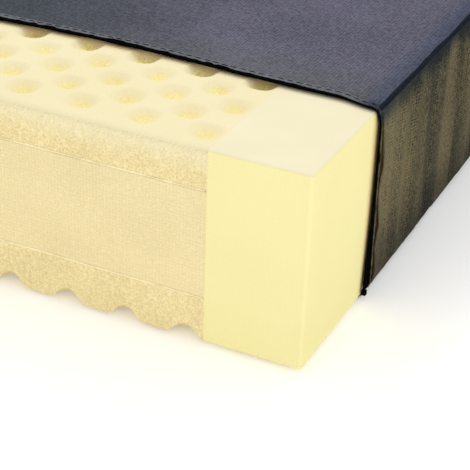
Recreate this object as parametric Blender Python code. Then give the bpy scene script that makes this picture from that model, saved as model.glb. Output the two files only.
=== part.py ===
"""Pressure relief mattress: a glued foam block with dimpled faces in a zipped cover.

X runs across the bed, Y along it with the foot end at -Y, and Z is up. The origin
is under the middle of the foam block, on the surface that the mattress rests on.
At rest the foot end is unzipped: the cover is drawn back towards the head, so the
foam shows, and the foot panel is folded flat under the base.
"""

import math

import bmesh
import bpy
from mathutils import Vector

# Foam block
FOAM_LENGTH = 1.980
FOAM_WIDTH = 0.880
FOAM_HEIGHT = 0.150
RAIL_WIDTH = 0.075
RAIL_ROUNDING = 0.005
TOP_LAYER = 0.030
BOTTOM_LAYER = 0.035
GLUE_FILM = 0.0006

# Dimples, in staggered rows. The offsets run from the right side and the foot end.
COLUMN_STEP = 0.0241
ROW_STEP = 0.0222
FIRST_COLUMN = 0.0894
TOP_FIRST_ROW = 0.026
BOTTOM_FIRST_ROW = 0.0
CUT_ROWS = 5
TOP_DIMPLE_WIDTH = 0.024
BOTTOM_DIMPLE_WIDTH = 0.0266
DIMPLE_DEPTH = 0.0105
DIMPLE_TAPER = 0.62
DIMPLE_SIDES = 8

# Cover
DRAWN_BACK = 0.1135
PANEL = 0.001
SLIP = 0.0005
HEAD_SLACK = 0.0025
SEAM_RADIUS = 0.00225
SEAM_OUT = 0.0006
HEM_WIDTH = 0.0085
HEM_THICK = 0.0015

# Zip
TAPE_WIDTH = 0.0016
TAPE_THICK = 0.0008
COIL_RADIUS = 0.001
ZIP_STANDOFF = 0.0026
ZIP_CORNER = 0.006
STOP_SIZE = 0.0035
SLIDER_LENGTH = 0.010
SLIDER_PLATE = 0.0007
SLIDER_SPAN = 0.0046
SLIDER_POST = 0.0014
EAR_SIZE = 0.0026
EAR_THICK = 0.0008
PIN_RADIUS = 0.0005
PULL_LENGTH = 0.018
PULL_WIDTH = 0.006
PULL_THICK = 0.0012
PULL_EYE = 0.0011
PIVOT_OUT = PULL_EYE + PULL_THICK / 2 + 0.0004

# Foot panel, folded under the base
FOLD_SEAM_RADIUS = 0.0007
FOLD_DEPTH = 0.146
FOLD_RAMP = 0.012

GAP = 0.0003

# Heights
FOLD_SPACE = 2 * COIL_RADIUS
FOAM_BOTTOM = FOLD_SPACE + GAP + PANEL + SLIP
FOAM_TOP = FOAM_BOTTOM + FOAM_HEIGHT
PANEL_TOP_Z = FOAM_TOP + SLIP
SEAM_BASE_Z = FOAM_BOTTOM - 0.0009
SEAM_TOP_Z = FOAM_TOP + SEAM_OUT

# Lengthwise places
FOOT_Y = -FOAM_LENGTH / 2
HEAD_Y = FOAM_LENGTH / 2
OPEN_Y = FOOT_Y + DRAWN_BACK
HEAD_PANEL_Y = HEAD_Y + DRAWN_BACK + HEAD_SLACK
HEAD_SEAM_Y = HEAD_PANEL_Y + SEAM_OUT - SLIP
HINGE_Y = OPEN_Y - 0.001
HINGE_Z = 0.001

# Widths, from the middle out
SIDE_X = FOAM_WIDTH / 2
SIDE_PANEL_X = SIDE_X + SLIP
SEAM_X = SIDE_X + SEAM_OUT
PANEL_EDGE_X = SEAM_X - SEAM_RADIUS - GAP
CORE_X = SIDE_X - RAIL_WIDTH - GAP - GLUE_FILM - GAP

# Side panels and hems run between the lower and the upper seam.
BORDER_LOW_Z = SEAM_BASE_Z + SEAM_RADIUS + GAP
BORDER_HIGH_Z = SEAM_TOP_Z - SEAM_RADIUS - GAP

# Zip line, in front of the hem
HEM_FRONT_Y = OPEN_Y - PANEL - GAP
TAPE_BACK_Y = HEM_FRONT_Y - GAP
TAPE_FRONT_Y = TAPE_BACK_Y - TAPE_WIDTH
COIL_Y = TAPE_FRONT_Y - GAP - COIL_RADIUS
ZIP_X = SIDE_X + ZIP_STANDOFF
ZIP_TOP_Z = FOAM_TOP + ZIP_STANDOFF
ZIP_LOW_Z = 0.010
SLIDER_LOW_Z = ZIP_LOW_Z + 0.0045
PULL_PIVOT_Z = SLIDER_LOW_Z + 0.0075


def clear_scene():
    for obj in list(bpy.data.objects):
        bpy.data.objects.remove(obj, do_unlink=True)


def make_material(name, colour, roughness, metallic=0.0):
    material = bpy.data.materials.new(name)
    material.use_nodes = True
    shader = material.node_tree.nodes["Principled BSDF"]
    shader.inputs["Base Color"].default_value = (*colour, 1.0)
    shader.inputs["Roughness"].default_value = roughness
    shader.inputs["Metallic"].default_value = metallic
    return material


def make_empty(name, world, parent=None):
    """An empty at a world place. Its parent, if any, sits unrotated too."""
    empty = bpy.data.objects.new(name, None)
    bpy.context.scene.collection.objects.link(empty)
    empty["world"] = tuple(world)
    origin = Vector(parent["world"]) if parent else Vector()
    empty.parent = parent
    empty.location = Vector(world) - origin
    return empty


def add_object(name, data, world, parent, colour, roughness, metallic=0.0):
    """A named part at a world place, under its body's empty, with its own material."""
    obj = bpy.data.objects.new(name, data)
    bpy.context.scene.collection.objects.link(obj)
    obj.parent = parent
    obj.location = Vector(world) - Vector(parent["world"])
    data.materials.append(make_material(name, colour, roughness, metallic))
    return obj


def mesh_from(bm, name):
    mesh = bpy.data.meshes.new(name)
    bmesh.ops.recalc_face_normals(bm, faces=bm.faces)
    bm.to_mesh(mesh)
    bm.free()
    return mesh


def box_mesh(name, size):
    bm = bmesh.new()
    bmesh.ops.create_cube(bm, size=1.0)
    bmesh.ops.scale(bm, vec=Vector(size), verts=bm.verts)
    return mesh_from(bm, name)


def add_box(name, low, high, parent, look):
    low, high = Vector(low), Vector(high)
    return add_object(name, box_mesh(name, high - low), (low + high) / 2, parent, *look)


def prism_mesh(name, outline, run):
    """A closed prism: an outline of 3-D points, swept along the vector run."""
    bm = bmesh.new()
    face = bm.faces.new([bm.verts.new(point) for point in outline])
    swept = bmesh.ops.extrude_face_region(bm, geom=[face])
    moved = [item for item in swept["geom"] if isinstance(item, bmesh.types.BMVert)]
    bmesh.ops.translate(bm, vec=Vector(run), verts=moved)
    return mesh_from(bm, name)


def add_prism(name, outline, run, parent, look):
    """A prism given by world points, with its origin on its parent's."""
    base = Vector(parent["world"])
    local = [Vector(point) - base for point in outline]
    return add_object(name, prism_mesh(name, local, run), base, parent, *look)


def add_tube(name, points, radius, parent, look, sides=8):
    """A round strip along world points, with filled ends."""
    base = Vector(parent["world"])
    curve = bpy.data.curves.new(name, "CURVE")
    curve.dimensions = "3D"
    curve.bevel_depth = radius
    curve.bevel_resolution = sides // 4
    curve.use_fill_caps = True
    spline = curve.splines.new("POLY")
    spline.points.add(len(points) - 1)
    for target, point in zip(spline.points, points):
        target.co = (*(Vector(point) - base), 1.0)
    return add_object(name, curve, base, parent, *look)


def add_modifier_bevel(obj, width, segments):
    bevel = obj.modifiers.new("rounded edges", "BEVEL")
    bevel.width = width
    bevel.segments = segments
    bevel.limit_method = "ANGLE"


def smooth(obj, degrees=40):
    obj.data.shade_smooth()
    obj.data.set_sharp_from_angle(angle=math.radians(degrees))


def u_path(half_width, low, high, radius, steps=4):
    """Points up one side, across and down the other, with rounded corners."""
    points = [(half_width, low)]
    for side, start in ((1, 0.0), (-1, math.pi / 2)):
        centre = (side * (half_width - radius), high - radius)
        for step in range(steps + 1):
            angle = start + step * math.pi / 2 / steps
            points.append(
                (centre[0] + radius * math.cos(angle), centre[1] + radius * math.sin(angle))
            )
    points.append((-half_width, low))
    return points


def dimple_cutters(name, first_row, width, surface_z, inward):
    """Tapered pits in staggered rows, as one hidden cutter."""
    bm = bmesh.new()
    over = 0.001
    depth = DIMPLE_DEPTH
    floor_radius = width / 2 * DIMPLE_TAPER
    slope = (width / 2 - floor_radius) / depth
    last_column = int((FOAM_WIDTH - RAIL_WIDTH - width / 2 - FIRST_COLUMN) / COLUMN_STEP)
    for row in range(CUT_ROWS):
        for column in range(row % 2, last_column + 1, 2):
            rings = []
            for height, radius in (
                (-over, width / 2 + over * slope),
                (depth, floor_radius),
            ):
                corner = radius / math.cos(math.pi / DIMPLE_SIDES)
                ring = []
                for side in range(DIMPLE_SIDES):
                    angle = (side + 0.5) * 2 * math.pi / DIMPLE_SIDES
                    x = SIDE_X - FIRST_COLUMN - column * COLUMN_STEP
                    y = FOOT_Y + first_row + row * ROW_STEP
                    ring.append(
                        bm.verts.new(
                            (
                                x + corner * math.cos(angle),
                                y + corner * math.sin(angle),
                                surface_z + inward * height,
                            )
                        )
                    )
                rings.append(ring)
            bm.faces.new(rings[0])
            bm.faces.new(rings[1])
            for side in range(DIMPLE_SIDES):
                after = (side + 1) % DIMPLE_SIDES
                bm.faces.new((rings[0][side], rings[0][after], rings[1][after], rings[1][side]))
    mesh = mesh_from(bm, name)
    cutter = bpy.data.objects.new(name, mesh)
    bpy.context.scene.collection.objects.link(cutter)
    cutter.hide_render = True
    cutter.display_type = "WIRE"
    return cutter


def cut(obj, cutter):
    boolean = obj.modifiers.new("dimples", "BOOLEAN")
    boolean.operation = "DIFFERENCE"
    boolean.object = cutter


def build_foam(foam):
    cream = ((0.93, 0.84, 0.60), 0.95)
    core_look = ((0.86, 0.76, 0.45), 0.95)
    rail_look = ((0.96, 0.86, 0.44), 0.92)
    glue_look = ((0.95, 0.91, 0.74), 0.6)
    for side, sign in (("right", 1), ("left", -1)):
        inner = sign * (SIDE_X - RAIL_WIDTH)
        outer = sign * SIDE_X
        rail = add_box(
            f"side_rail_{side}",
            (min(inner, outer), FOOT_Y, FOAM_BOTTOM),
            (max(inner, outer), HEAD_Y, FOAM_TOP),
            foam,
            rail_look,
        )
        add_modifier_bevel(rail, RAIL_ROUNDING, 3)
        smooth(rail)
        near = sign * (CORE_X + GAP)
        far = sign * (CORE_X + GAP + GLUE_FILM)
        add_box(
            f"glue_film_{side}",
            (min(near, far), FOOT_Y + GAP, FOAM_BOTTOM + GAP),
            (max(near, far), HEAD_Y - GAP, FOAM_TOP - GAP),
            foam,
            glue_look,
        )
    joint = GAP + GLUE_FILM + GAP
    lower_joint = FOAM_BOTTOM + BOTTOM_LAYER
    upper_joint = FOAM_TOP - TOP_LAYER
    layers = (
        ("bottom_foam_layer", FOAM_BOTTOM, lower_joint, cream),
        ("core_foam_layer", lower_joint + joint, upper_joint - joint, core_look),
        ("top_foam_layer", upper_joint, FOAM_TOP, cream),
    )
    built = {}
    for name, low, high, look in layers:
        built[name] = add_box(name, (-CORE_X, FOOT_Y, low), (CORE_X, HEAD_Y, high), foam, look)
    for name, low in (
        ("glue_film_lower", lower_joint + GAP),
        ("glue_film_upper", upper_joint - joint + GAP),
    ):
        add_box(
            name,
            (-CORE_X + GAP, FOOT_Y + GAP, low),
            (CORE_X - GAP, HEAD_Y - GAP, low + GLUE_FILM),
            foam,
            glue_look,
        )
    cut(
        built["top_foam_layer"],
        dimple_cutters("top_dimple_cutter", TOP_FIRST_ROW, TOP_DIMPLE_WIDTH, FOAM_TOP, -1),
    )
    cut(
        built["bottom_foam_layer"],
        dimple_cutters(
            "bottom_dimple_cutter", BOTTOM_FIRST_ROW, BOTTOM_DIMPLE_WIDTH, FOAM_BOTTOM, 1
        ),
    )


def build_cover_panels(cover):
    top_look = ((0.13, 0.13, 0.20), 0.55)
    border_look = ((0.10, 0.08, 0.05), 0.6)
    base_look = ((0.06, 0.06, 0.08), 0.7)
    add_box(
        "cover_top_panel",
        (-PANEL_EDGE_X, OPEN_Y, PANEL_TOP_Z),
        (PANEL_EDGE_X, HEAD_SEAM_Y - SEAM_RADIUS - GAP, PANEL_TOP_Z + PANEL),
        cover,
        top_look,
    )
    for side, sign in (("right", 1), ("left", -1)):
        inner = sign * SIDE_PANEL_X
        outer = sign * (SIDE_PANEL_X + PANEL)
        add_box(
            f"cover_side_panel_{side}",
            (min(inner, outer), OPEN_Y, BORDER_LOW_Z),
            (max(inner, outer), HEAD_SEAM_Y - SEAM_RADIUS - GAP, BORDER_HIGH_Z),
            cover,
            border_look,
        )
    add_box(
        "cover_head_panel",
        (-PANEL_EDGE_X, HEAD_PANEL_Y, BORDER_LOW_Z),
        (PANEL_EDGE_X, HEAD_PANEL_Y + PANEL, BORDER_HIGH_Z),
        cover,
        border_look,
    )
    raised = FOLD_SPACE + GAP
    fold_end = HINGE_Y + FOLD_DEPTH + 0.006
    head_end = HEAD_SEAM_Y - SEAM_RADIUS - GAP
    profile = (
        (OPEN_Y, raised),
        (fold_end, raised),
        (fold_end + FOLD_RAMP, 0.0),
        (head_end, 0.0),
        (head_end, PANEL),
        (fold_end + FOLD_RAMP, PANEL),
        (fold_end, raised + PANEL),
        (OPEN_Y, raised + PANEL),
    )
    outline = [(-PANEL_EDGE_X, y, z) for y, z in profile]
    add_prism("cover_base_panel", outline, (2 * PANEL_EDGE_X, 0, 0), cover, base_look)


def build_seams(cover):
    look = ((0.05, 0.06, 0.12), 0.5)
    for side, sign in (("right", 1), ("left", -1)):
        x = sign * SEAM_X
        for level, z in (("top", SEAM_TOP_Z), ("base", SEAM_BASE_Z)):
            ends = ((x, OPEN_Y, z), (x, HEAD_SEAM_Y + SEAM_RADIUS, z))
            smooth_tube(add_tube(f"{level}_seam_{side}", ends, SEAM_RADIUS, cover, look))
        ends = ((x, HEAD_SEAM_Y, BORDER_LOW_Z), (x, HEAD_SEAM_Y, BORDER_HIGH_Z))
        smooth_tube(add_tube(f"head_seam_{side}", ends, SEAM_RADIUS, cover, look))
    for level, z in (("top", SEAM_TOP_Z), ("base", SEAM_BASE_Z)):
        ends = ((-PANEL_EDGE_X, HEAD_SEAM_Y, z), (PANEL_EDGE_X, HEAD_SEAM_Y, z))
        smooth_tube(add_tube(f"{level}_seam_head", ends, SEAM_RADIUS, cover, look))
    ends = ((-PANEL_EDGE_X, HINGE_Y, HINGE_Z), (PANEL_EDGE_X, HINGE_Y, HINGE_Z))
    smooth_tube(add_tube("base_seam_foot", ends, FOLD_SEAM_RADIUS, cover, look))


def smooth_tube(obj):
    for spline in obj.data.splines:
        spline.use_smooth = True


def hem_profile(face, outward):
    """An angled hem in (lengthwise, outward) terms: a strip on the panel with a lip."""
    lip = face + outward * SLIP
    over = face + outward * (SLIP + PANEL + GAP)
    top = face + outward * (SLIP + PANEL + GAP + HEM_THICK)
    return (
        (HEM_FRONT_Y, lip),
        (OPEN_Y - GAP, lip),
        (OPEN_Y - GAP, over),
        (OPEN_Y + HEM_WIDTH, over),
        (OPEN_Y + HEM_WIDTH, top),
        (HEM_FRONT_Y, top),
    )


def build_hems(cover):
    look = ((0.20, 0.20, 0.27), 0.6)
    outline = [(-PANEL_EDGE_X, y, z) for y, z in hem_profile(FOAM_TOP, 1)]
    add_prism("hem_top", outline, (2 * PANEL_EDGE_X, 0, 0), cover, look)
    for side, sign in (("right", 1), ("left", -1)):
        outline = [(x, y, BORDER_LOW_Z) for y, x in hem_profile(sign * SIDE_X, sign)]
        height = BORDER_HIGH_Z - BORDER_LOW_Z
        add_prism(f"hem_{side}", outline, (0, 0, height), cover, look)


def strip_outline(path, thickness, place):
    """The outline of a strip of even thickness about a path in a plane."""
    count = len(path)
    sides = ([], [])
    for i, point in enumerate(path):
        before = Vector(path[max(i - 1, 0)])
        after = Vector(path[min(i + 1, count - 1)])
        along = (after - before).normalized()
        across = Vector((-along.y, along.x))
        for side, sign in zip(sides, (1, -1)):
            side.append(place(Vector(point) + across * sign * thickness / 2))
    return sides[0] + sides[1][::-1]


def build_zip(cover):
    black = ((0.01, 0.01, 0.012), 0.6)
    path = u_path(ZIP_X, ZIP_LOW_Z, ZIP_TOP_Z, ZIP_CORNER)
    outline = strip_outline(path, TAPE_THICK, lambda p: (p.x, TAPE_FRONT_Y, p.y))
    add_prism("zip_tape_cover", outline, (0, TAPE_WIDTH, 0), cover, black)
    points = [(x, COIL_Y, z) for x, z in path]
    smooth_tube(add_tube("zip_coil_cover", points, COIL_RADIUS, cover, black))
    for side, sign in (("right", 1), ("left", -1)):
        x = sign * ZIP_X
        add_box(
            f"zip_stop_{side}",
            (x - STOP_SIZE / 2, COIL_Y - STOP_SIZE / 2, ZIP_LOW_Z - GAP - STOP_SIZE),
            (x + STOP_SIZE / 2, COIL_Y + STOP_SIZE / 2, ZIP_LOW_Z - GAP),
            cover,
            ((0.55, 0.55, 0.57), 0.35, 1.0),
        )


def build_foot_panel(flap):
    """The foot panel lies under the base, reaching from its hinge towards the head."""
    fold_start = HINGE_Y + FOLD_SEAM_RADIUS + GAP
    fold_end = HINGE_Y + FOLD_DEPTH
    coil_end = fold_end - COIL_RADIUS
    coil_x = PANEL_EDGE_X - 2 * GAP - COIL_RADIUS
    edge = COIL_RADIUS + GAP + TAPE_WIDTH + GAP
    corner = ZIP_CORNER - TAPE_WIDTH / 2 - GAP
    path = u_path(coil_x - edge, fold_start, coil_end - edge, corner)
    outline = [(x, y, 0.0) for x, y in path]
    add_prism("foot_panel", outline, (0, 0, PANEL), flap, ((0.10, 0.08, 0.05), 0.6))
    black = ((0.01, 0.01, 0.012), 0.6)
    tape_middle = COIL_RADIUS + GAP + TAPE_WIDTH / 2
    path = u_path(coil_x - tape_middle, fold_start, coil_end - tape_middle, ZIP_CORNER)
    tape_z = COIL_RADIUS - TAPE_THICK / 2
    outline = strip_outline(path, TAPE_WIDTH, lambda p: (p.x, p.y, tape_z))
    add_prism("zip_tape_foot", outline, (0, 0, TAPE_THICK), flap, black)
    path = u_path(coil_x, fold_start, coil_end, ZIP_CORNER + tape_middle)
    points = [(x, y, COIL_RADIUS) for x, y in path]
    smooth_tube(add_tube("zip_coil_foot", points, COIL_RADIUS, flap, black))


def build_slider(slider, pull):
    """The slider stands at the lower end of the left run, its pull hanging down."""
    metal = ((0.50, 0.50, 0.52), 0.35, 1.0)
    front = COIL_RADIUS + GAP + SLIDER_PLATE
    back = COIL_RADIUS + GAP
    post_y = COIL_Y - COIL_RADIUS - GAP - SLIDER_POST / 2
    half_post = SLIDER_POST / 2
    section = (
        (-SLIDER_SPAN, -front),
        (SLIDER_SPAN, -front),
        (SLIDER_SPAN, -back),
        (half_post, -back),
        (half_post, back),
        (SLIDER_SPAN, back),
        (SLIDER_SPAN, front),
        (-SLIDER_SPAN, front),
        (-SLIDER_SPAN, back),
        (-half_post, back),
        (-half_post, -back),
        (-SLIDER_SPAN, -back),
    )
    outline = [(-ZIP_X + depth, post_y + across, SLIDER_LOW_Z) for across, depth in section]
    body = add_prism("zip_slider", outline, (0, 0, SLIDER_LENGTH), slider, metal)
    face_x = -ZIP_X - front
    pivot_x = face_x - PIVOT_OUT
    ear_inner = PULL_WIDTH / 2 - 0.001 + GAP
    for number, sign in enumerate((1, -1)):
        near = post_y + sign * ear_inner
        far = near + sign * EAR_THICK
        ear = add_box(
            f"slider_ear_shape_{number}",
            (pivot_x - EAR_SIZE / 2, min(near, far), PULL_PIVOT_Z - EAR_SIZE / 2),
            (face_x + SLIDER_PLATE / 2, max(near, far), PULL_PIVOT_Z + EAR_SIZE / 2),
            slider,
            metal,
        )
        ear.hide_render = True
        ear.display_type = "WIRE"
        union = body.modifiers.new("ear", "BOOLEAN")
        union.operation = "UNION"
        union.object = ear
    half_pin = ear_inner - GAP
    ends = (
        (pivot_x, post_y - half_pin, PULL_PIVOT_Z),
        (pivot_x, post_y + half_pin, PULL_PIVOT_Z),
    )
    smooth_tube(add_tube("zip_pull_pin", ends, PIN_RADIUS, slider, metal))
    build_pull(pull, pivot_x, post_y, half_pin - GAP, metal)


def build_pull(pull, pivot_x, middle_y, half_width, metal):
    """A flat tab with an eye about the pin. The eye is open, as on a snapped-on pull."""
    steps = 7
    inner = PIN_RADIUS + GAP
    outer = PULL_EYE + PULL_THICK / 2
    opening = math.radians(50)
    outline = []
    for step in range(steps + 1):
        angle = opening + step * (1.5 * math.pi - opening) / steps
        outline.append((pivot_x + outer * math.cos(angle), PULL_PIVOT_Z + outer * math.sin(angle)))
    foot_z = PULL_PIVOT_Z - PULL_LENGTH
    outline.append((pivot_x, foot_z))
    outline.append((pivot_x + PULL_THICK / 2, foot_z))
    outline.append((pivot_x + PULL_THICK / 2, PULL_PIVOT_Z - outer))
    for step in range(steps + 1):
        angle = 1.75 * math.pi - step * (1.75 * math.pi - opening) / steps
        outline.append((pivot_x + inner * math.cos(angle), PULL_PIVOT_Z + inner * math.sin(angle)))
    points = [(x, middle_y - half_width, z) for x, z in outline]
    add_prism("zip_pull", points, (0, 2 * half_width, 0), pull, metal)


def main():
    clear_scene()
    foam = make_empty("foam_block", (0, 0, 0))
    cover = make_empty("cover", (0, OPEN_Y, FOAM_BOTTOM + FOAM_HEIGHT / 2), foam)
    flap = make_empty("foot_panel_hinge", (0, HINGE_Y, HINGE_Z), cover)
    slider = make_empty("zip_slider_run", (-ZIP_X, COIL_Y, SLIDER_LOW_Z), cover)
    post_y = COIL_Y - COIL_RADIUS - GAP - SLIDER_POST / 2
    face_x = -ZIP_X - COIL_RADIUS - GAP - SLIDER_PLATE
    pull = make_empty("zip_pull_hinge", (face_x - PIVOT_OUT, post_y, PULL_PIVOT_Z), slider)
    build_foam(foam)
    build_cover_panels(cover)
    build_seams(cover)
    build_hems(cover)
    build_zip(cover)
    build_foot_panel(flap)
    build_slider(slider, pull)


main()
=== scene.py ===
"""Looks of the pressure relief mattress: foam block, zipped cover, stage, light and camera."""

import math

import bmesh
import bpy
import numpy as np
from mathutils import Matrix, Vector


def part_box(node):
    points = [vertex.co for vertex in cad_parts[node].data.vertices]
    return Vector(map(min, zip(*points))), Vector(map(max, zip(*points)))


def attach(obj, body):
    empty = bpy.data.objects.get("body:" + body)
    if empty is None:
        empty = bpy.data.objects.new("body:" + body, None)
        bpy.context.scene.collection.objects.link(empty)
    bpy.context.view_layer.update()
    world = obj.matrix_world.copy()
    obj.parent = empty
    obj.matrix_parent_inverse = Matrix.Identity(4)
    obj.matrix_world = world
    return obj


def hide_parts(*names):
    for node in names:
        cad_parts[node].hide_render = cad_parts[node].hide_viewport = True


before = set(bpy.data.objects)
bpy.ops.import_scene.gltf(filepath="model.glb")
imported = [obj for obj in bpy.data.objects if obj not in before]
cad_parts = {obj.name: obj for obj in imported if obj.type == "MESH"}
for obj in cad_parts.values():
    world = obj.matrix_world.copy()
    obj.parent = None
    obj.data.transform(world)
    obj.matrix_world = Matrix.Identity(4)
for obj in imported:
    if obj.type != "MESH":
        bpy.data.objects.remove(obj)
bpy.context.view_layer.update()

MM = 0.001

# ---------------- places from the frame

rail_low, rail_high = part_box("side_rail_right")
core_low, core_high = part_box("core_foam_layer")
layer_low, layer_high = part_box("top_foam_layer")
under_low, under_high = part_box("bottom_foam_layer")
panel_low, panel_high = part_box("cover_top_panel")
side_low, side_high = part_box("cover_side_panel_right")
head_low, head_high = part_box("cover_head_panel")
base_low, base_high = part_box("cover_base_panel")
hem_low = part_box("hem_top")[0]
coil_low, coil_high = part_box("zip_coil_cover")
flap_low, flap_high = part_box("foot_panel")
flap_coil_low, flap_coil_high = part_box("zip_coil_foot")

SIDE_X = rail_high.x
FOOT_Y = rail_low.y
HEAD_Y = rail_high.y
FOAM_LOW = rail_low.z
FOAM_TOP = rail_high.z
OPEN_Y = panel_low.y

# Dimples: staggered rows, measured from the right side and the foot end
COLUMN_STEP = 24.1 * MM
ROW_STEP = 22.2 * MM
FIRST_COLUMN_X = SIDE_X - 89.4 * MM
TOP_FIRST_ROW = 26.0 * MM
TOP_DIMPLE_DEPTH = 6.0 * MM
UNDER_DIMPLE_DEPTH = 10.5 * MM
TOP_DIMPLE_HALF = 12.8 * MM
UNDER_DIMPLE_HALF = 13.6 * MM
DIMPLE_SQUARENESS = 2.5
DIMPLE_SOFTNESS = 1.35
DIMPLE_WOBBLE = 0.05
EDGE_MARGIN = 12.0 * MM

# Foam: the hairline gap at a joint, the finest grid, and a rail's edges, bare and gripped
JOINT = 0.03 * MM
FINE = 1.6 * MM
RAIL_ROUNDING = 2.4 * MM
GRIPPED_ROUNDING = 11 * MM

# Cover: the cloth, what its edges lose in a seam, and how far the long base seams sit inwards
CLOTH = 0.9 * MM
ALLOWANCE = 1.5 * MM
SEAM_TUCK = 3.0 * MM

# Borders: how much longer the cloth is than its wall, the simulation's cell, the frame at
# which the cloth is drawn up, and the last one
SLACK = 0.025
WALL_CELL = 8 * MM
DRAWN_FRAME = 9
FRAMES = 26

# Hem: how far its fold reaches forward at the corners, and its stitches
NOSE = 3.0 * MM
STITCH_LINE = 6.3 * MM
STITCH_PITCH = 7.6 * MM
STITCH_LENGTH = 5.6 * MM
STITCH_WIDTH = 1.15 * MM
STITCH_LIFT = 2.05 * MM

# Zip: its spiral, the tape's half thickness and the corner that it turns
COIL_RADIUS = 1.0 * MM
SPIRAL_RADIUS = 0.72 * MM
WIRE_RADIUS = 0.36 * MM
SPIRAL_PITCH = 1.5 * MM
TAPE_HALF = 0.4 * MM
ZIP_CORNER = 6 * MM

# ---------------- mesh helpers


def add_object(name, data):
    """A new object in the scene."""
    added = bpy.data.objects.new(name, data)
    bpy.context.scene.collection.objects.link(added)
    return added


def new_piece(name, points, faces, body, material, degrees=None):
    """A smooth mesh piece from points and faces, with creases at edges over an angle."""
    mesh = bpy.data.meshes.new(name)
    mesh.from_pydata(np.reshape(points, (-1, 3)).tolist(), [], [tuple(f) for f in faces])
    mesh.update()
    bm = bmesh.new()
    bm.from_mesh(mesh)
    bmesh.ops.recalc_face_normals(bm, faces=bm.faces)
    bm.to_mesh(mesh)
    bm.free()
    mesh.shade_smooth()
    if degrees:
        mesh.set_sharp_from_angle(angle=math.radians(degrees))
    mesh.materials.append(material)
    piece = add_object(name, mesh)
    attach(piece, body)
    return piece


def value_noise(x, y, cell, seed):
    """Smooth noise between -1 and 1 over x and y, arrays or numbers, with features of one cell."""
    size = 256
    lattice = np.random.default_rng(seed).uniform(-1, 1, (size, size))
    u, v = x / cell, y / cell
    i, j = np.floor(u).astype(int), np.floor(v).astype(int)
    fu, fv = u - i, v - j
    fu, fv = fu * fu * (3 - 2 * fu), fv * fv * (3 - 2 * fv)
    i0, j0, i1, j1 = i % size, j % size, (i + 1) % size, (j + 1) % size
    low = lattice[i0, j0] * (1 - fu) + lattice[i1, j0] * fu
    high = lattice[i0, j1] * (1 - fu) + lattice[i1, j1] * fu
    return low * (1 - fv) + high * fv


def smoothstep(low, high, value):
    t = np.clip((value - low) / (high - low), 0, 1)
    return t * t * (3 - 2 * t)


def lines(*stretches):
    """Grid lines over stretches (start, end, step), joined end to end."""
    found = []
    for start, end, step in stretches:
        count = max(1, int(round(abs(end - start) / step)))
        found.extend(np.linspace(start, end, count, endpoint=False))
    found.append(stretches[-1][1])
    return np.array(found)


def grid_faces(rows, columns, offset=0, flip=False):
    i, j = np.meshgrid(np.arange(rows - 1), np.arange(columns - 1), indexing="ij")
    a = offset + i * columns + j
    quads = np.stack([a, a + columns, a + columns + 1, a + 1], axis=-1).reshape(-1, 4)
    return quads[:, ::-1] if flip else quads


def shell(front, back):
    """Points and faces of the closed body between two grids of points of one shape."""
    rows, columns = front.shape[:2]
    count = rows * columns
    index = np.arange(count).reshape(rows, columns)
    rim = np.concatenate([index[0], index[1:, -1], index[-1, -2::-1], index[-2:0:-1, 0]])
    after = np.roll(rim, -1)
    walls = np.stack([rim, after, after + count, rim + count], axis=-1)
    faces = np.concatenate(
        [grid_faces(rows, columns), grid_faces(rows, columns, count, True), walls]
    )
    return np.stack([front, back]), faces


def tube_faces(count, sides):
    """Faces of a closed tube of rings of points, with its two ends."""
    faces = []
    for i in range(count - 1):
        for j in range(sides):
            k = (j + 1) % sides
            faces.append((i * sides + j, i * sides + k, (i + 1) * sides + k, (i + 1) * sides + j))
    faces.append(tuple(range(sides)))
    faces.append(tuple((count - 1) * sides + j for j in range(sides)))
    return faces


def sweep(path, across, out, section):
    """A closed tube: section points (a, b) carried along a path on its across and out vectors."""
    points = (
        path[:, None, :]
        + across[:, None, :] * section[None, :, 0:1]
        + out[:, None, :] * section[None, :, 1:2]
    )
    return points, tube_faces(len(path), len(section))


def frame_along(path):
    """Unit tangents of a path of points."""
    tangent = np.gradient(path, axis=0)
    return tangent / np.linalg.norm(tangent, axis=1, keepdims=True)


def distances(path):
    """How far along a path each of its points lies."""
    return np.concatenate([[0], np.cumsum(np.linalg.norm(np.diff(path, axis=0), axis=1))])


def ring_section(radius, sides):
    """Points (a, b) evenly round a circle."""
    angle = np.arange(sides) * 2 * np.pi / sides
    return np.stack([radius * np.cos(angle), radius * np.sin(angle)], axis=1)


# ---------------- materials


def node_material(name):
    material = bpy.data.materials.new(name)
    material.use_nodes = True
    tree = material.node_tree
    return material, tree, tree.nodes["Principled BSDF"]


def feed(tree, socket, value):
    """Set an input socket to a value, or link it to an output socket."""
    if isinstance(value, bpy.types.NodeSocket):
        tree.links.new(value, socket)
    else:
        socket.default_value = value


def fill(tree, node, **inputs):
    """Feed a node's inputs by name, with _ for each space."""
    for key, value in inputs.items():
        feed(tree, node.inputs[key.replace("_", " ")], value)


def add_node(tree, kind, output, **inputs):
    """An output socket of a new node with its inputs fed."""
    node = tree.nodes.new(kind)
    fill(tree, node, **inputs)
    return node.outputs[output]


def object_coordinates(tree, scale=(1, 1, 1)):
    place = add_node(tree, "ShaderNodeTexCoord", "Object")
    return add_node(tree, "ShaderNodeMapping", "Vector", Vector=place, Scale=scale)


def noise(tree, vector, scale, detail=2.0, rough=0.5):
    return add_node(
        tree, "ShaderNodeTexNoise", "Fac",
        Vector=vector, Scale=scale, Detail=detail, Roughness=rough,
    )


def span(tree, value, low, high, kind="SMOOTHSTEP"):
    """A value spread over low to high, held between 0 and 1."""
    spread = add_node(
        tree, "ShaderNodeMapRange", "Result", Value=value, From_Min=low, From_Max=high
    )
    spread.node.interpolation_type = kind
    return spread


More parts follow.
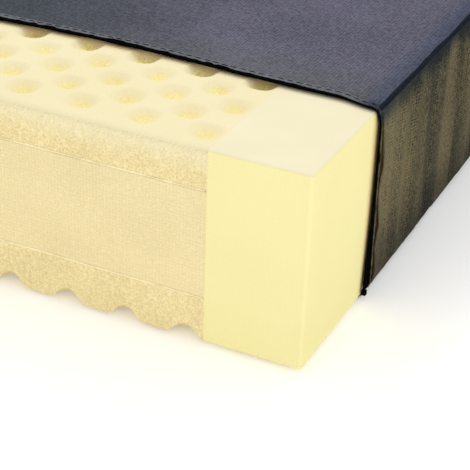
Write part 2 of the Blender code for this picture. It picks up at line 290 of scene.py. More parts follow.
def blend_colours(tree, factor, first, second):
    """The first colour where the factor is 0, turning to the second at 1."""
    node = tree.nodes.new("ShaderNodeMix")
    node.data_type = "RGBA"
    for socket, value in ((0, factor), (6, first), (7, second)):
        feed(tree, node.inputs[socket], value)
    return node.outputs[2]


def ramp(tree, value, low, high, start=0.35, end=0.65):
    """The colour low where the value is at start or less, turning to high at end."""
    return blend_colours(tree, span(tree, value, start, end, "LINEAR"), (*low, 1), (*high, 1))


def maths(tree, operation, first, second=0.0):
    node = tree.nodes.new("ShaderNodeMath")
    node.operation = operation
    for socket, value in zip(node.inputs, (first, second)):
        feed(tree, socket, value)
    return node.outputs[0]


def weighted_sum(tree, *terms):
    """The sum of pairs of a value socket and its weight, a number or another socket."""
    total = None
    for value, weight in terms:
        term = value if weight == 1 else maths(tree, "MULTIPLY", value, weight)
        total = term if total is None else maths(tree, "ADD", total, term)
    return total


def inverse(tree, value):
    """1 where a value socket is 0, and 0 where it is 1."""
    return maths(tree, "SUBTRACT", 1.0, value)


def bump(tree, height, strength, distance):
    return add_node(
        tree, "ShaderNodeBump", "Normal", Height=height, Strength=strength, Distance=distance
    )


def axis_of(tree, vector, axis):
    """One coordinate of a vector socket."""
    return add_node(tree, "ShaderNodeSeparateXYZ", axis, Vector=vector)


def upness(tree, low, high):
    """0 where a surface stands upright, 1 where it faces up, on the piece itself."""
    normal = add_node(tree, "ShaderNodeTexCoord", "Normal")
    return span(tree, axis_of(tree, normal, "Z"), low, high)


def height_above(tree, low, high):
    """0 below one height and 1 above another, on the piece itself."""
    return span(tree, axis_of(tree, object_coordinates(tree), "Z"), low, high)


def wandering(tree, axis, scale, amount):
    """A coordinate of the piece, shifted by a slow noise of up to an amount."""
    vector = object_coordinates(tree)
    drift = noise(tree, vector, scale)
    return weighted_sum(tree, (axis_of(tree, vector, axis), 1), (drift, amount))


def wave(tree, value, length):
    """A sine of a value socket, with a length between its crests."""
    return maths(tree, "SINE", maths(tree, "MULTIPLY", value, 2 * math.pi / length))


def weave_pattern(tree, vector, thread):
    """Crossed threads, about -1 to 1, in whichever plane the surface lies."""
    normal = add_node(tree, "ShaderNodeTexCoord", "Normal")
    waves = {axis: wave(tree, axis_of(tree, vector, axis), thread) for axis in "XYZ"}
    terms = []
    for first, second, across in ("XYZ", "YZX", "XZY"):
        share = maths(tree, "ABSOLUTE", axis_of(tree, normal, across))
        grid = maths(tree, "MAXIMUM", waves[first], waves[second])
        terms.append((maths(tree, "SUBTRACT", grid, 0.4), share))
    return weighted_sum(tree, *terms)


def foam_material(
    name, cut, lit_top, cell, grain, depth, saw=0.0, pit=None, fade=None, shadow_sides=None, shadow_top=None
):
    """Open-cell foam: cut is the (light, dark) pair of its sawn sides, and lit_top that of its
    top, painted paler and less yellow than the sides as top light.

    Pores of one cell and coarser crumbs show on the cut sides, and slow drifts all over. saw is
    the strength of the fine crossed marks of the blade. pit is (low, high, colours) of hollows,
    whose yellower, brighter floors are painted bounce light, and fade the heights between which
    a cut side turns to the painted top light of its top. shadow_sides and shadow_top are the
    distances from the mouth over which each face is painted brown as the cover edge's shadow.
    """
    material, tree, shader = node_material(name)
    vector = object_coordinates(tree)
    pores = add_node(tree, "ShaderNodeTexVoronoi", "Distance", Vector=vector, Scale=1 / cell)
    crumbs = noise(tree, vector, 0.45 / cell, 3.0, 0.65)
    drift = noise(tree, vector, 16.0, 2.0)
    marks = weave_pattern(tree, vector, SAW_PITCH)
    height = weighted_sum(tree, (pores, 1), (crumbs, 1.2))
    upper = upness(tree, 0.35, 0.9)
    tone = weighted_sum(tree, (height, grain), (drift, 0.4), (marks, saw))
    middle = 1.05 * grain + 0.2

    def toned(colours, spread=0.28):
        light, dark = colours
        return ramp(tree, tone, dark, light, middle - spread, middle + spread)

    sides = toned(cut)
    cloudy = weighted_sum(tree, (drift, 1), (crumbs, 0.35))
    # Painted top light: faces turned up take a paler, less yellow colour than the sawn sides.
    top = ramp(tree, cloudy, lit_top[1], lit_top[0], 0.45, 0.95)
    # Painted top light, carried down a cut side near its top edge.
    if fade:
        wander = noise(tree, vector, 60.0, 3.0)
        place = weighted_sum(tree, (axis_of(tree, vector, "Z"), 1), (wander, 12 * MM))
        pale = maths(tree, "MULTIPLY", span(tree, place, *fade), 0.9)
        sides = blend_colours(tree, pale, sides, top)
    # Painted bounce light: the floors of the hollows take a yellower, brighter colour.
    if pit:
        low, high, floor = pit
        # Painted shadow: pits near the mouth turn brown where the cover's edge shades them.
        under_zip = towards_mouth(tree, -18 * MM, -6 * MM)
        deep = blend_colours(tree, under_zip, toned(floor), toned(PIT_SHADOW, 0.16))
        top = blend_colours(tree, height_above(tree, low, high), deep, top)
    # Painted shadow: the faces turn brown near the mouth, where the cover's edge shades them.
    if shadow_sides:
        share = maths(tree, "MULTIPLY", towards_mouth(tree, *shadow_sides), 0.8)
        sides = blend_colours(tree, share, sides, toned(MOUTH_SHADOW))
    if shadow_top:
        share = maths(tree, "MULTIPLY", towards_mouth(tree, *shadow_top), 0.6)
        top = blend_colours(tree, share, top, toned(MOUTH_SHADOW))
    colour = blend_colours(tree, upper, sides, top)
    calm = inverse(tree, maths(tree, "MULTIPLY", upper, 0.75))
    normal = bump(tree, maths(tree, "MULTIPLY", height, calm), 0.8, depth)
    fill(
        tree, shader, Base_Color=colour, Roughness=0.95, Specular_IOR_Level=0.12, Normal=normal
    )
    return material


def fabric_material(name, light, dark, thread, roughness=0.8, fold_shade=None, tints=()):
    """Coated knit: crossed threads, fine flecks and slow drifts of tone.

    fold_shade is a stretch (x, y, z) of broad soft bands of painted fold shade, and their
    strength. Each tint is a factor socket maker and the colour pair that takes over where the
    factor is 1.
    """
    material, tree, shader = node_material(name)
    vector = object_coordinates(tree)
    weave = weave_pattern(tree, vector, thread)
    drift = noise(tree, vector, 9.0, 3.0, 0.6)
    fine = noise(tree, vector, 460.0, 2.0, 0.7)
    tone = weighted_sum(tree, (drift, 0.6), (weave, 0.20), (fine, 1.7))
    middle = 1.15
    if fold_shade:
        # Painted shade of folds: broad soft bands darken and lighten the cloth.
        stretch, strength = fold_shade
        band = noise(tree, object_coordinates(tree, stretch), 1.0, 1.0, 0.5)
        tone = weighted_sum(tree, (tone, 1), (band, strength))
        middle += 0.5 * strength
    tone_range = (middle - 0.42, middle + 0.42)
    colour = ramp(tree, tone, dark, light, *tone_range)
    for factor, (other_light, other_dark) in tints:
        other = ramp(tree, tone, other_dark, other_light, *tone_range)
        colour = blend_colours(tree, factor(tree), colour, other)
    normal = bump(tree, weighted_sum(tree, (weave, 1), (fine, 1.5)), 0.35, 0.12 * MM)
    fill(
        tree, shader,
        Base_Color=colour, Roughness=roughness, Specular_IOR_Level=0.02, Normal=normal,
    )
    return material


def hard_material(name, light, dark, scale, roughness, metallic=0.0, specular=0.5):
    """Moulded or cast surface: fine mottling, and a little unevenness."""
    material, tree, shader = node_material(name)
    grains = noise(tree, object_coordinates(tree), scale, 3.0, 0.6)
    fill(
        tree, shader,
        Base_Color=ramp(tree, grains, dark, light), Roughness=roughness, Metallic=metallic,
        Specular_IOR_Level=specular, Normal=bump(tree, grains, 0.4, 0.05 * MM),
    )
    return material


def near_mouth(tree):
    """1 at the mouth of the cover, fading to 0 further up the bed."""
    place = wandering(tree, "Y", 14.0, 60 * MM)
    return inverse(tree, span(tree, place, OPEN_Y + 30 * MM, OPEN_Y + 110 * MM))


def slate_corner(tree):
    """1 at the middle of the mouth's end of the top, fading all round."""
    across = maths(tree, "ADD", wandering(tree, "X", 10.0, 80 * MM), 60 * MM)
    across = maths(tree, "ABSOLUTE", across)
    inner = inverse(tree, span(tree, across, 200 * MM, 400 * MM))
    place = wandering(tree, "Y", 10.0, 80 * MM)
    outer = inverse(tree, span(tree, place, OPEN_Y + 150 * MM, OPEN_Y + 450 * MM))
    return maths(tree, "MULTIPLY", inner, outer)


def over_the_top(tree):
    """1 on the run of the hem across the bed, 0 on its runs down the sides."""
    return height_above(tree, FOAM_TOP - 3 * MM, FOAM_TOP)


def seam_edge_shade(tree):
    """1 on the top panel where it bends down to a long seam, painted darker there as shade."""
    vector = object_coordinates(tree)
    across = maths(tree, "ABSOLUTE", axis_of(tree, vector, "X"))
    place = weighted_sum(tree, (across, 1), (noise(tree, vector, 25.0), 8 * MM))
    return span(tree, place, SIDE_X - 20 * MM, SIDE_X + 4 * MM)


def corner_hem_shade(tree):
    """1 on the hem where it turns down over a long edge of the bed, painted dark there as shade.
    """
    turning = height_above(tree, FOAM_TOP - 18 * MM, FOAM_TOP - 6 * MM)
    return maths(tree, "MULTIPLY", turning, seam_edge_shade(tree))


def shade_under_seam(tree):
    """1 on a border just under its upper seam, painted dark there as shade."""
    return span(tree, wandering(tree, "Z", 45.0, 22 * MM), FOAM_TOP - 10 * MM, FOAM_TOP + 9 * MM)


def near_base(tree):
    """1 on a border at its foot, fading to 0 at half its height."""
    place = wandering(tree, "Z", 30.0, 30 * MM)
    return inverse(tree, span(tree, place, FOAM_LOW + 20 * MM, FOAM_LOW + 80 * MM))


def towards_mouth(tree, start, end):
    """0 before one distance from the mouth and 1 after another, on the foam."""
    return span(tree, wandering(tree, "Y", 90.0, 4 * MM), OPEN_Y + start, OPEN_Y + end)


SAW_PITCH = 2.6 * MM
# Brown painted shadow of the cover's edge on the foam at the mouth.
MOUTH_SHADOW = ((0.74, 0.50, 0.20), (0.52, 0.32, 0.11))
# Brown of the pits in the cover edge's painted shadow.
PIT_SHADOW = ((1.0, 0.93, 0.37), (0.64, 0.42, 0.11))
# Each foam's top colours are painted top light, paler and less yellow than its sawn sides.
DIMPLED_FOAM = foam_material(
    "dimpled_foam",
    cut=((0.97, 0.84, 0.47), (0.66, 0.52, 0.24)),
    lit_top=((0.86, 0.77, 0.50), (0.84, 0.745, 0.465)),
    cell=1.7 * MM,
    grain=0.36,
    depth=0.9 * MM,
    saw=0.03,
    # Pit floors painted yellower and brighter, as light bounced in the hollows.
    pit=(FOAM_TOP - 5.4 * MM, FOAM_TOP - 2.2 * MM, ((0.93, 0.82, 0.41), (0.76, 0.65, 0.28))),
    fade=(FOAM_TOP - 15 * MM, FOAM_TOP + 3 * MM),
    # Painted shadow of the cover's edge on the top, near the mouth.
    shadow_top=(0.0, 12 * MM),
)
CORE_FOAM = foam_material(
    "core_foam",
    cut=((0.91, 0.775, 0.44), (0.70, 0.585, 0.315)),
    lit_top=((0.84, 0.73, 0.41), (0.78, 0.66, 0.35)),
    cell=1.1 * MM,
    grain=0.30,
    depth=0.35 * MM,
    saw=0.07,
)
RAIL_FOAM = foam_material(
    "rail_foam",
    cut=((0.895, 0.82, 0.42), (0.83, 0.745, 0.355)),
    lit_top=((0.85, 0.79, 0.56), (0.82, 0.75, 0.52)),
    cell=0.8 * MM,
    grain=0.14,
    depth=0.15 * MM,
    saw=0.07,
    # Painted shadow of the cover's edge on the rail, near the mouth.
    shadow_sides=(-9 * MM, 3 * MM),
    shadow_top=(0.0, 14 * MM),
)
GLUE = hard_material("adhesive", (0.97, 0.88, 0.58), (0.88, 0.76, 0.44), 300.0, 0.6)
MOUTH_GREYS = ((0.143, 0.145, 0.160), (0.052, 0.053, 0.060))
TOP_FABRIC = fabric_material(
    "cover_top_fabric",
    (0.165, 0.159, 0.215),
    (0.054, 0.052, 0.071),
    2.6 * MM,
    # Painted shade of shallow folds across the top.
    fold_shade=((5.0, 16.0, 5.0), 0.45),
    tints=(
        (near_mouth, MOUTH_GREYS),
        (slate_corner, ((0.083, 0.098, 0.115), (0.030, 0.036, 0.042))),
        # Painted shade where the top rolls over the long edges.
        (seam_edge_shade, ((0.094, 0.107, 0.158), (0.033, 0.040, 0.062))),
    ),
)
BORDER_FABRIC = fabric_material(
    "cover_border_fabric",
    (0.185, 0.152, 0.081),
    (0.026, 0.028, 0.022),
    2.6 * MM,
    # Strong painted shade of the upright folds down the border.
    fold_shade=((4.0, 26.0, 3.0), 1.25),
    tints=(
        (near_base, ((0.088, 0.076, 0.050), (0.012, 0.013, 0.012))),
        # Painted shade on the border under the overhanging upper seam.
        (shade_under_seam, ((0.048, 0.050, 0.044), (0.009, 0.012, 0.015))),
    ),
)
BASE_FABRIC = fabric_material(
    "cover_base_fabric", (0.10, 0.10, 0.12), (0.035, 0.035, 0.05), 1.6 * MM, roughness=0.7
)
SEAM_FABRIC = fabric_material(
    "seam_piping", (0.014, 0.021, 0.030), (0.003, 0.005, 0.008), 1.9 * MM
)
LOW_SEAM_FABRIC = fabric_material(
    "base_seam_piping", (0.070, 0.066, 0.048), (0.020, 0.021, 0.018), 1.9 * MM
)
HEM_FABRIC = fabric_material(
    "hem_binding",
    (0.185, 0.155, 0.088),
    (0.050, 0.048, 0.036),
    2.6 * MM,
    tints=(
        # The hem's run across the top has its own grey, painted a little lighter than the top
        # cloth as a highlight on its fold.
        (over_the_top, ((0.185, 0.192, 0.212), (0.075, 0.080, 0.090))),
        # Painted shade on the hem at the corners, under the long seams.
        (corner_hem_shade, ((0.050, 0.060, 0.075), (0.012, 0.016, 0.021))),
    ),
)
THREAD = hard_material(
    "stitch_thread", (0.014, 0.014, 0.022), (0.004, 0.004, 0.008), 2500.0, 0.8, specular=0.03
)
TAPE = hard_material(
    "zip_tape", (0.003, 0.003, 0.003), (0.001, 0.001, 0.001), 1500.0, 0.9, specular=0.0
)
COIL = hard_material(
    "zip_coil", (0.004, 0.004, 0.004), (0.001, 0.001, 0.001), 1500.0, 0.7, specular=0.01
)
METAL = hard_material(
    "zip_metal", (0.075, 0.075, 0.08), (0.03, 0.03, 0.033), 700.0, 0.35, 0.6
)

# ---------------- foam block


def pit_depth(x, y, first_row, half, deep):
    """Depth of the staggered round-bottomed pits at points x, y of a face."""
    column = np.round((FIRST_COLUMN_X - x) / COLUMN_STEP)
    row = np.round((y - FOOT_Y - first_row) / ROW_STEP)
    deepest = np.zeros_like(x)
    for across in (-1, 0, 1):
        for along in (-1, 0, 1):
            c, r = column + across, row + along
            centre_x = FIRST_COLUMN_X - c * COLUMN_STEP
            centre_y = FOOT_Y + first_row + r * ROW_STEP
            there = (
                ((c + r) % 2 == 0)
                & (c >= 0)
                & (r >= 0)
                & (centre_x > core_low.x + EDGE_MARGIN)
                & (centre_y < HEAD_Y - EDGE_MARGIN)
            )
            dx = (x - centre_x) / half * (1 + DIMPLE_WOBBLE * value_noise(c, r, 0.7, 3))
            dy = (y - centre_y) / half * (1 + DIMPLE_WOBBLE * value_noise(c, r, 0.7, 4))
            p = DIMPLE_SQUARENESS
            reach = (np.abs(dx) ** p + np.abs(dy) ** p) ** (1 / p)
            bowl = np.clip(1 - reach**2, 0, 1)
            deepest = np.maximum(deepest, np.where(there, deep * bowl**DIMPLE_SOFTNESS, 0))
    return deepest


def foot_profile(glued, edge, rounding):
    """(y, height) up the foot end of a layer from its glued face, and round its outer edge."""
    sign = math.copysign(1, edge - glued)
    wall = lines((glued, edge - sign * rounding, FINE))
    angle = np.linspace(0, np.pi / 2, 6)[1:-1]
    turn_y = FOOT_Y + rounding * (1 - np.cos(angle))
    turn_z = edge - sign * rounding * (1 - np.sin(angle))
    return np.concatenate([np.full_like(wall, FOOT_Y), turn_y]), np.concatenate([wall, turn_z])


def between_rails(low, high):
    """A layer's box, widened to meet the rails."""
    half = SIDE_X - (rail_high.x - rail_low.x) - JOINT
    return Vector((-half, low.y, low.z)), Vector((half, high.y, high.z))


def dimpled_layer(name, node, low, high, first_row, half, deep, face_up, coarse, rounding):
    """A foam layer with one dimpled face, a torn-looking foot end and one flat, glued face."""
    low, high = between_rails(low, high)
    sign = 1 if face_up else -1
    glued, edge = (low.z, high.z) if face_up else (high.z, low.z)
    end_y, end_z = foot_profile(glued, edge, rounding)
    xs = lines((low.x, 0.15, coarse), (0.15, high.x, FINE))
    ys = lines((FOOT_Y + rounding, FOOT_Y + 0.15, FINE), (FOOT_Y + 0.15, HEAD_Y, coarse))
    x, y = np.meshgrid(xs, np.concatenate([end_y, ys]), indexing="ij")
    level = np.concatenate([end_z, np.full_like(ys, edge)])[None, :] + 0 * x
    pits = pit_depth(x, y, first_row, half, deep)
    ripple = 0.20 * MM * value_noise(x, y, 11 * MM, 5)
    ripple = ripple + 0.10 * MM * value_noise(x, y, 4 * MM, 6)
    floor = edge - sign * (pits + np.abs(ripple))
    shaped = np.minimum(level, floor) if face_up else np.maximum(level, floor)
    wall = len(end_z)
    crumbs = 0.12 * MM * value_noise(x, level, 2.6 * MM, 7)
    crumbs = crumbs + 0.10 * MM * value_noise(x, level, 5 * MM, 8)
    y[:, :wall] += 0.12 * MM + crumbs[:, :wall]
    steps = 0.25 * MM * np.arange(y.shape[1])[None, :]
    flat_y = np.maximum(y, FOOT_Y + steps * (y < FOOT_Y + 20 * MM))
    flat_y[:, 0] = y[:, 0]
    flat = np.full_like(x, glued)
    shaped[:, 0] = flat[:, 0] + sign * 0.3 * MM
    points, faces = shell(np.stack([x, y, shaped], -1), np.stack([x, flat_y, flat], -1))
    piece = new_piece(name, points, faces, "foam_block", DIMPLED_FOAM, degrees=50)
    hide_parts(node)


def foam_core():
    """The plain middle layer, with faintly softened edges."""
    low, high = between_rails(core_low, core_high)
    bm = bmesh.new()
    bmesh.ops.create_cube(bm, size=1.0)
    bmesh.ops.scale(bm, vec=high - low, verts=bm.verts)
    bmesh.ops.translate(bm, vec=(low + high) / 2, verts=bm.verts)
    edges = list(bm.edges)
    bmesh.ops.bevel(bm, geom=edges, offset=0.4 * MM, segments=5, profile=0.5, affect="EDGES")
    bm.verts.index_update()
    faces = [[corner.index for corner in face.verts] for face in bm.faces]
    points = [corner.co for corner in bm.verts]
    piece = new_piece("foam_core", points, faces, "foam_block", CORE_FOAM, degrees=35)
    bm.free()
    piece.modifiers.new("flat faces", "WEIGHTED_NORMAL").keep_sharp = True
    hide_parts("core_foam_layer")


def foam_rail(name, node, sign):
    """A side rail: crisp where it is bare, and rounded low down where the cover grips it."""
    low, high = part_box(node)
    near, far = (low.x, high.x) if sign > 0 else (high.x, low.x)
    soft = RAIL_ROUNDING
    ys = np.concatenate(
        [
            FOOT_Y + soft * (1 - np.cos(np.linspace(0, np.pi / 2, 5))),
            lines((FOOT_Y + 20 * MM, OPEN_Y, 20 * MM), (OPEN_Y + 4 * MM, OPEN_Y + 0.40, 12 * MM)),
            np.linspace(OPEN_Y + 0.46, HEAD_Y - 30 * MM, 20),
            HEAD_Y - soft * (1 - np.cos(np.linspace(np.pi / 2, 0, 5))),
        ]
    )
    rows = []
    for y in ys:
        step = min(y - FOOT_Y, HEAD_Y - y)
        inset = soft - math.sqrt(max(0.0, soft**2 - max(0.0, soft - step) ** 2))
        covered = float(smoothstep(0, 40 * MM, y - OPEN_Y))
        low_round = soft + (GRIPPED_ROUNDING - soft) * covered
        corners = (
            (near, low.z, 0.0, 0.0),
            (far, low.z, low_round, -np.pi / 2),
            (far, high.z, soft, 0.0),
            (near, high.z, 0.0, 0.0),
        )
        row = []
        for x, z, radius, start in corners:
            up = 1 if z > (low.z + high.z) / 2 else -1
            if radius == 0.0:
                row.append((x, y, z - up * inset))
                continue
            centre = (x - sign * radius, z - up * radius)
            for angle in np.linspace(start, start + np.pi / 2, 7):
                turned_x = centre[0] + sign * (radius - inset) * math.cos(angle)
                turned_z = centre[1] + (radius - inset) * math.sin(angle)
                row.append((turned_x, y, turned_z))
        rows.append(row)
    faces = tube_faces(len(rows), len(rows[0]))
    piece = new_piece(name, rows, faces, "foam_block", RAIL_FOAM, degrees=35)
    piece.modifiers.new("flat faces", "WEIGHTED_NORMAL").keep_sharp = True
    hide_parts(node)


def glue_line(name, node, seed):
    """A dried adhesive film. Its bead at the foot end is uneven, and swells here and there."""
    low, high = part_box(node)
    centre = (low + high) / 2
    upright = (high.x - low.x) < (high.z - low.z)
    start, end = (low.z + 2 * MM, high.z - 3 * MM) if upright else (low.x, high.x)
    along = lines((start, end, 2.0 * MM))
    thick = (0.45 + 0.15 * value_noise(along, 0, 7 * MM, seed)) * MM
    if upright:
        proud = -0.5 * MM
    else:
        proud = 0.25 * np.maximum(0, value_noise(along, 0, 11 * MM, seed + 1)) * MM
    rows = []
    for side, back in ((-1, 1), (-1, 0), (1, 0), (1, 1)):
        y = np.full_like(along, high.y) if back else FOOT_Y - proud + 0 * along
        if upright:
            rows.append(np.stack([centre.x + side * thick, y, along], -1))
        else:
            rows.append(np.stack([along, y, centre.z + side * thick], -1))
    points = np.stack(rows, axis=1)
    faces = tube_faces(len(along), len(rows))
    piece = new_piece(name, points, faces, "foam_block", GLUE, degrees=40)
    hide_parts(node)


def build_foam():
    dimpled_layer(
        "foam_top", "top_foam_layer", layer_low, layer_high, TOP_FIRST_ROW, TOP_DIMPLE_HALF,
        TOP_DIMPLE_DEPTH, True, 3.7 * MM, 6.0 * MM,
    )
    dimpled_layer(
        "foam_bottom", "bottom_foam_layer", under_low, under_high, 0.0, UNDER_DIMPLE_HALF,
        UNDER_DIMPLE_DEPTH, False, 4.8 * MM, 1.2 * MM,
    )
    foam_core()
    for side, sign in (("right", 1), ("left", -1)):
        foam_rail(f"foam_rail_{side}", f"side_rail_{side}", sign)
    for seed, place in enumerate(("upper", "lower", "right", "left")):
        glue_line(f"glue_{place}", f"glue_film_{place}", 20 + 2 * seed)


# ---------------- cover


def zip_wander(x):
    """How far the zip stands back across the top, nothing at the corners."""
    from_corner = np.clip(SIDE_X - np.abs(x), 0, None)
    swell = np.cos(np.pi / 2 * np.clip((np.abs(x) - 0.222) / 0.17, -1, 1)) ** 2
    amount = np.where(x > 0, 6.6 * MM, 3.5 * MM)
    return 5.5 * MM * smoothstep(0, 32 * MM, from_corner) + amount * swell


def zip_side_wander(x, z):
    """The zip's lean down the right side. The left run is straight, for the slider."""
    drop = np.clip(FOAM_TOP - z, 0, None)
    share = drop / (FOAM_TOP - FOAM_LOW)
    lean = 3.8 * MM * smoothstep(0, 10 * MM, drop) - 6.5 * MM * share
    lean = lean + 2.8 * MM * np.sin(np.pi * np.clip(share, 0, 1))
    return np.where(x > 0, lean, 0)


def hem_wander(x):
    """How far the fold of the mouth stands back across the top: a touch less than the zip."""
    from_corner = np.clip(SIDE_X - np.abs(x), 0, None)
    over = 0.3 * MM + 0.4 * MM * smoothstep(0.10, 0.40, x)
    over = over + 0.5 * MM * value_noise(x, 0, 40 * MM, 33)
    nose = NOSE * (1 - smoothstep(10 * MM, 36 * MM, from_corner))
    return zip_wander(x) - over * smoothstep(0, 30 * MM, from_corner) - nose


def hem_side_wander(side, z):
    """How far the fold of the mouth stands back down the right (side > 0) or left side.

    On the left it clears the slider's run.
    """
    drop = np.clip(FOAM_TOP - z, 0, None)
    right = (1.8 * MM + NOSE) * smoothstep(0, 14 * MM, drop) + 34 * drop * MM
    left = (4.5 * MM + NOSE) * smoothstep(0, 8 * MM, drop)
    return np.where(side > 0, right, left)


def top_waves(x, y):
    """Shallow waves of the taut top panel, lengthwise tension lines and a slack ripple."""
    broad = 0.5 * MM * value_noise(x, y, 160 * MM, 41)
    cross = 0.25 * MM * value_noise(x * 0.35, y, 28 * MM, 42)
    ripple = 0.10 * MM * value_noise(x, y, 22 * MM, 43)
    return np.maximum(0, 0.4 * MM + broad + cross + ripple)


def build_top_panel():
    half = panel_high.x + ALLOWANCE
    xs = lines(
        (-half, -half + 8 * MM, 1.0 * MM),
        (-half + 8 * MM, 0.12, 12 * MM),
        (0.12, half - 8 * MM, 5 * MM),
        (half - 8 * MM, half, 1.0 * MM),
    )
    ys = lines((OPEN_Y + 4 * MM, OPEN_Y + 0.5, 5 * MM), (OPEN_Y + 0.5, panel_high.y, 15 * MM))
    x, y = np.meshgrid(xs, ys, indexing="ij")
    edge = half - np.abs(x)
    calm = smoothstep(0, 25 * MM, edge)
    y = y + hem_wander(x) * (1 - smoothstep(0, 0.3, y - OPEN_Y))
    z = panel_low.z + top_waves(x, y) * calm - 0.5 * MM * (1 - smoothstep(0, 5 * MM, edge))
    points, faces = shell(np.stack([x, y, z + CLOTH], -1), np.stack([x, y, z], -1))
    piece = new_piece("cover_top", points, faces, "cover", TOP_FABRIC, degrees=60)
    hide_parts("cover_top_panel")


def slack_wall(length, height, seed):
    """Outward folds, on an even grid, of an upright panel sewn on all four sides.

    A cloth simulation: the cloth is SLACK longer than the wall it covers, and is drawn taut
    from its lower to its upper seam, so it buckles into upright folds.
    """
    rows, columns = round(length / WALL_CELL) + 1, round(height / WALL_CELL) + 1
    along, up = np.meshgrid(
        np.linspace(0, length, rows), np.linspace(0, height, columns), indexing="ij"
    )
    gathers = 0.8 * MM * value_noise(along, 0, 30 * MM, seed)
    out = gathers + 1.2 * MM * value_noise(along, up / height * 0.4, 30 * MM, seed + 1)
    start = np.stack([along, out, up / (1 + 1.2 * SLACK)], -1).reshape(-1, 3)
    mesh = bpy.data.meshes.new("wall")
    mesh.from_pydata(start.tolist(), [], grid_faces(rows, columns).tolist())
    wall = add_object("wall", mesh)
    wall.shape_key_add(name="loose")
    drawn = wall.shape_key_add(name="drawn")
    drawn.data.foreach_set("co", np.stack([along, out, up], -1).reshape(-1))
    for share, time in ((0, 1), (1, DRAWN_FRAME)):
        drawn.value = share
        drawn.keyframe_insert("value", frame=time)
    index = np.arange(rows * columns).reshape(rows, columns)
    edge = np.unique(np.concatenate([index[0], index[-1], index[:, 0], index[:, -1]]))
    wall.vertex_groups.new(name="sewn").add(edge.tolist(), 1.0, "REPLACE")
    cloth = wall.modifiers.new("cloth", "CLOTH")
    cloth.collision_settings.use_collision = False
    cloth.point_cache.frame_start, cloth.point_cache.frame_end = 1, FRAMES + 5
    settings = cloth.settings
    settings.quality = 5
    settings.mass = 0.2
    settings.tension_stiffness = settings.compression_stiffness = 18
    settings.shear_stiffness = 6
    settings.bending_stiffness = 1.5
    settings.air_damping = 2.0
    settings.vertex_group_mass = "sewn"
    settings.shrink_min = settings.shrink_max = -SLACK
    settings.effector_weights.gravity = 0
    for time in range(1, FRAMES + 1):
        bpy.context.scene.frame_set(time)
    settled = wall.evaluated_get(bpy.context.evaluated_depsgraph_get())
    found = np.empty(rows * columns * 3)
    settled.to_mesh().vertices.foreach_get("co", found)
    settled.to_mesh_clear()
    bpy.context.scene.frame_set(1)
    bpy.data.objects.remove(wall)
    return found.reshape(rows, columns, 3)[:, :, 1]


def cubic_weights(t):
    """Weights of four even samples for a smooth value at share t between the middle two."""
    return (
        ((-0.5 * t + 1) * t - 0.5) * t,
        (1.5 * t - 2.5) * t * t + 1,
        ((-1.5 * t + 2) * t + 0.5) * t,
        (0.5 * t - 0.5) * t * t,
    )


def sample(grid, first, second):
    """Smooth values of an even grid at shares 0 to 1 along its two axes."""
    u, v = first * (grid.shape[0] - 1), second * (grid.shape[1] - 1)
    i, j = np.floor(u).astype(int), np.floor(v).astype(int)
    total = 0
    for a, along in enumerate(cubic_weights(u - i)):
        for b, across in enumerate(cubic_weights(v - j)):
            row = np.clip(i + a - 1, 0, grid.shape[0] - 1)
            column = np.clip(j + b - 1, 0, grid.shape[1] - 1)
            total = total + along * across * grid[row, column]
    return total


def turned_under(height, turn):
    """How far a border curves in, at a height above its lower edge."""
    inside = np.clip(turn - height, 0, turn)
    return 0.8 * (turn - np.sqrt(turn**2 - inside**2))


def build_border(name, node, along_low, along_high, place, seed, turned, edge=None):
    """An upright panel with simulated folds, turned under at its foot.

    place maps lengthwise, outward and height arrays to points. turned is the radius of the
    foot's turn near the panel's two ends, and edge is how far its near end stands back at
    each height.
    """
    low_z, high_z = side_low.z - ALLOWANCE, side_high.z + ALLOWANCE
    near_end = along_low + 0.4
    steps = lines((along_low, near_end, 3.2 * MM), (near_end, along_high, 5 * MM))
    heights = lines((low_z, low_z + 9 * MM, 0.9 * MM), (low_z + 9 * MM, high_z, 4.5 * MM))
    along, z = np.meshgrid(steps, heights, indexing="ij")
    turn = turned[0] + (turned[1] - turned[0]) * smoothstep(0.05, 0.35, along - along_low)
    share = (z - low_z) / (high_z - low_z)
    folds = slack_wall(along_high - along_low, high_z - low_z, seed)
    puckers = 0.4 * MM * value_noise(along, 0, 7 * MM, seed + 2)
    near_seam = smoothstep(0.75, 0.92, share) * (1 - smoothstep(0.94, 1.0, share))
    out = 1.9 * MM + 0.9 * sample(folds, (along - along_low) / (along_high - along_low), share)
    out = out + puckers * near_seam
    held = smoothstep(0, 0.08, share) * smoothstep(0, 0.08, 1 - share)
    out = np.maximum(0.2 * MM, out) * (0.3 + 0.7 * held)
    out = out - turned_under(z - low_z, turn)
    if edge is not None:
        along = along + edge(z) * (1 - smoothstep(0, 0.15, along - along_low))
    points, faces = shell(place(along, out + CLOTH, z), place(along, out, z))
    piece = new_piece(name, points, faces, "cover", BORDER_FABRIC, degrees=60)
    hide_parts(node)


def build_borders():
    base = side_low.x - 0.3 * MM
    for side, sign in (("right", 1), ("left", -1)):
        build_border(
            f"cover_side_{side}",
            f"cover_side_panel_{side}",
            OPEN_Y + 3 * MM,
            side_high.y + ALLOWANCE,
            lambda along, out, z, sign=sign: np.stack([sign * (base + out), along, z], -1),
            51 if sign > 0 else 61,
            (5.0 * MM, 9.0 * MM),
            lambda z, sign=sign: hem_side_wander(sign, z),
        )
    build_border(
        "cover_head",
        "cover_head_panel",
        head_low.x - ALLOWANCE,
        head_high.x + ALLOWANCE,
        lambda along, out, z: np.stack([along, head_low.y - 0.3 * MM + out, z], -1),
        71,
        (2.5 * MM, 2.5 * MM),
    )


